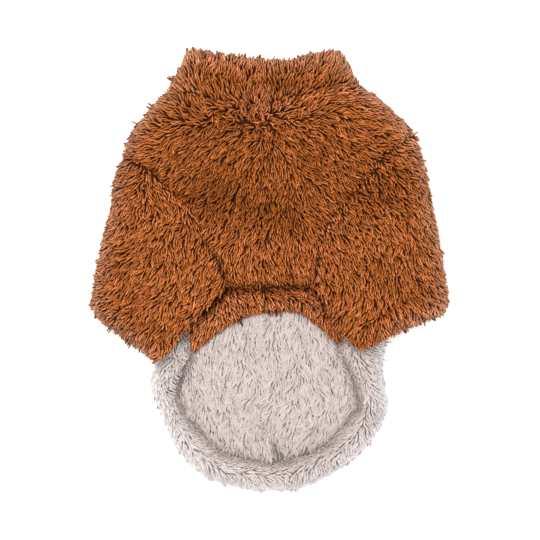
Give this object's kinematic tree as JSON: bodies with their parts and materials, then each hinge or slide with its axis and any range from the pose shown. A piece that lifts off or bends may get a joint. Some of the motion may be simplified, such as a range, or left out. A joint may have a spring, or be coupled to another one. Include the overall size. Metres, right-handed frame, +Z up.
{
  "type": "dog's fleece pullover",
  "caption": "Small dog's teddy-fleece pullover with a stand-up collar, short wide sleeves and a pale lined back with a rolled hem, laid flat on its back.",
  "frame": {"origin": "on the surface that the garment lies on, under the middle of its box", "axes": "+Z up from the surface, +Y towards the neck, +X to the right of the laid garment as seen from above"},
  "size_m": [0.305, 0.3758, 0.0338],
  "materials": {
    "teddy_brown": "long matted teddy-fleece pile, russet brown",
    "teddy_pale": "long matted teddy-fleece pile, pale warm grey"
  },
  "bodies": {
    "root": {"back_panel": "teddy_brown", "back_lining": "teddy_pale", "front_panel": "teddy_brown", "sleeve_left": "teddy_brown", "sleeve_right": "teddy_brown", "collar": "teddy_brown", "front_hem_band": "teddy_brown", "back_hem_band": "teddy_pale"}
  },
  "joints": []
}
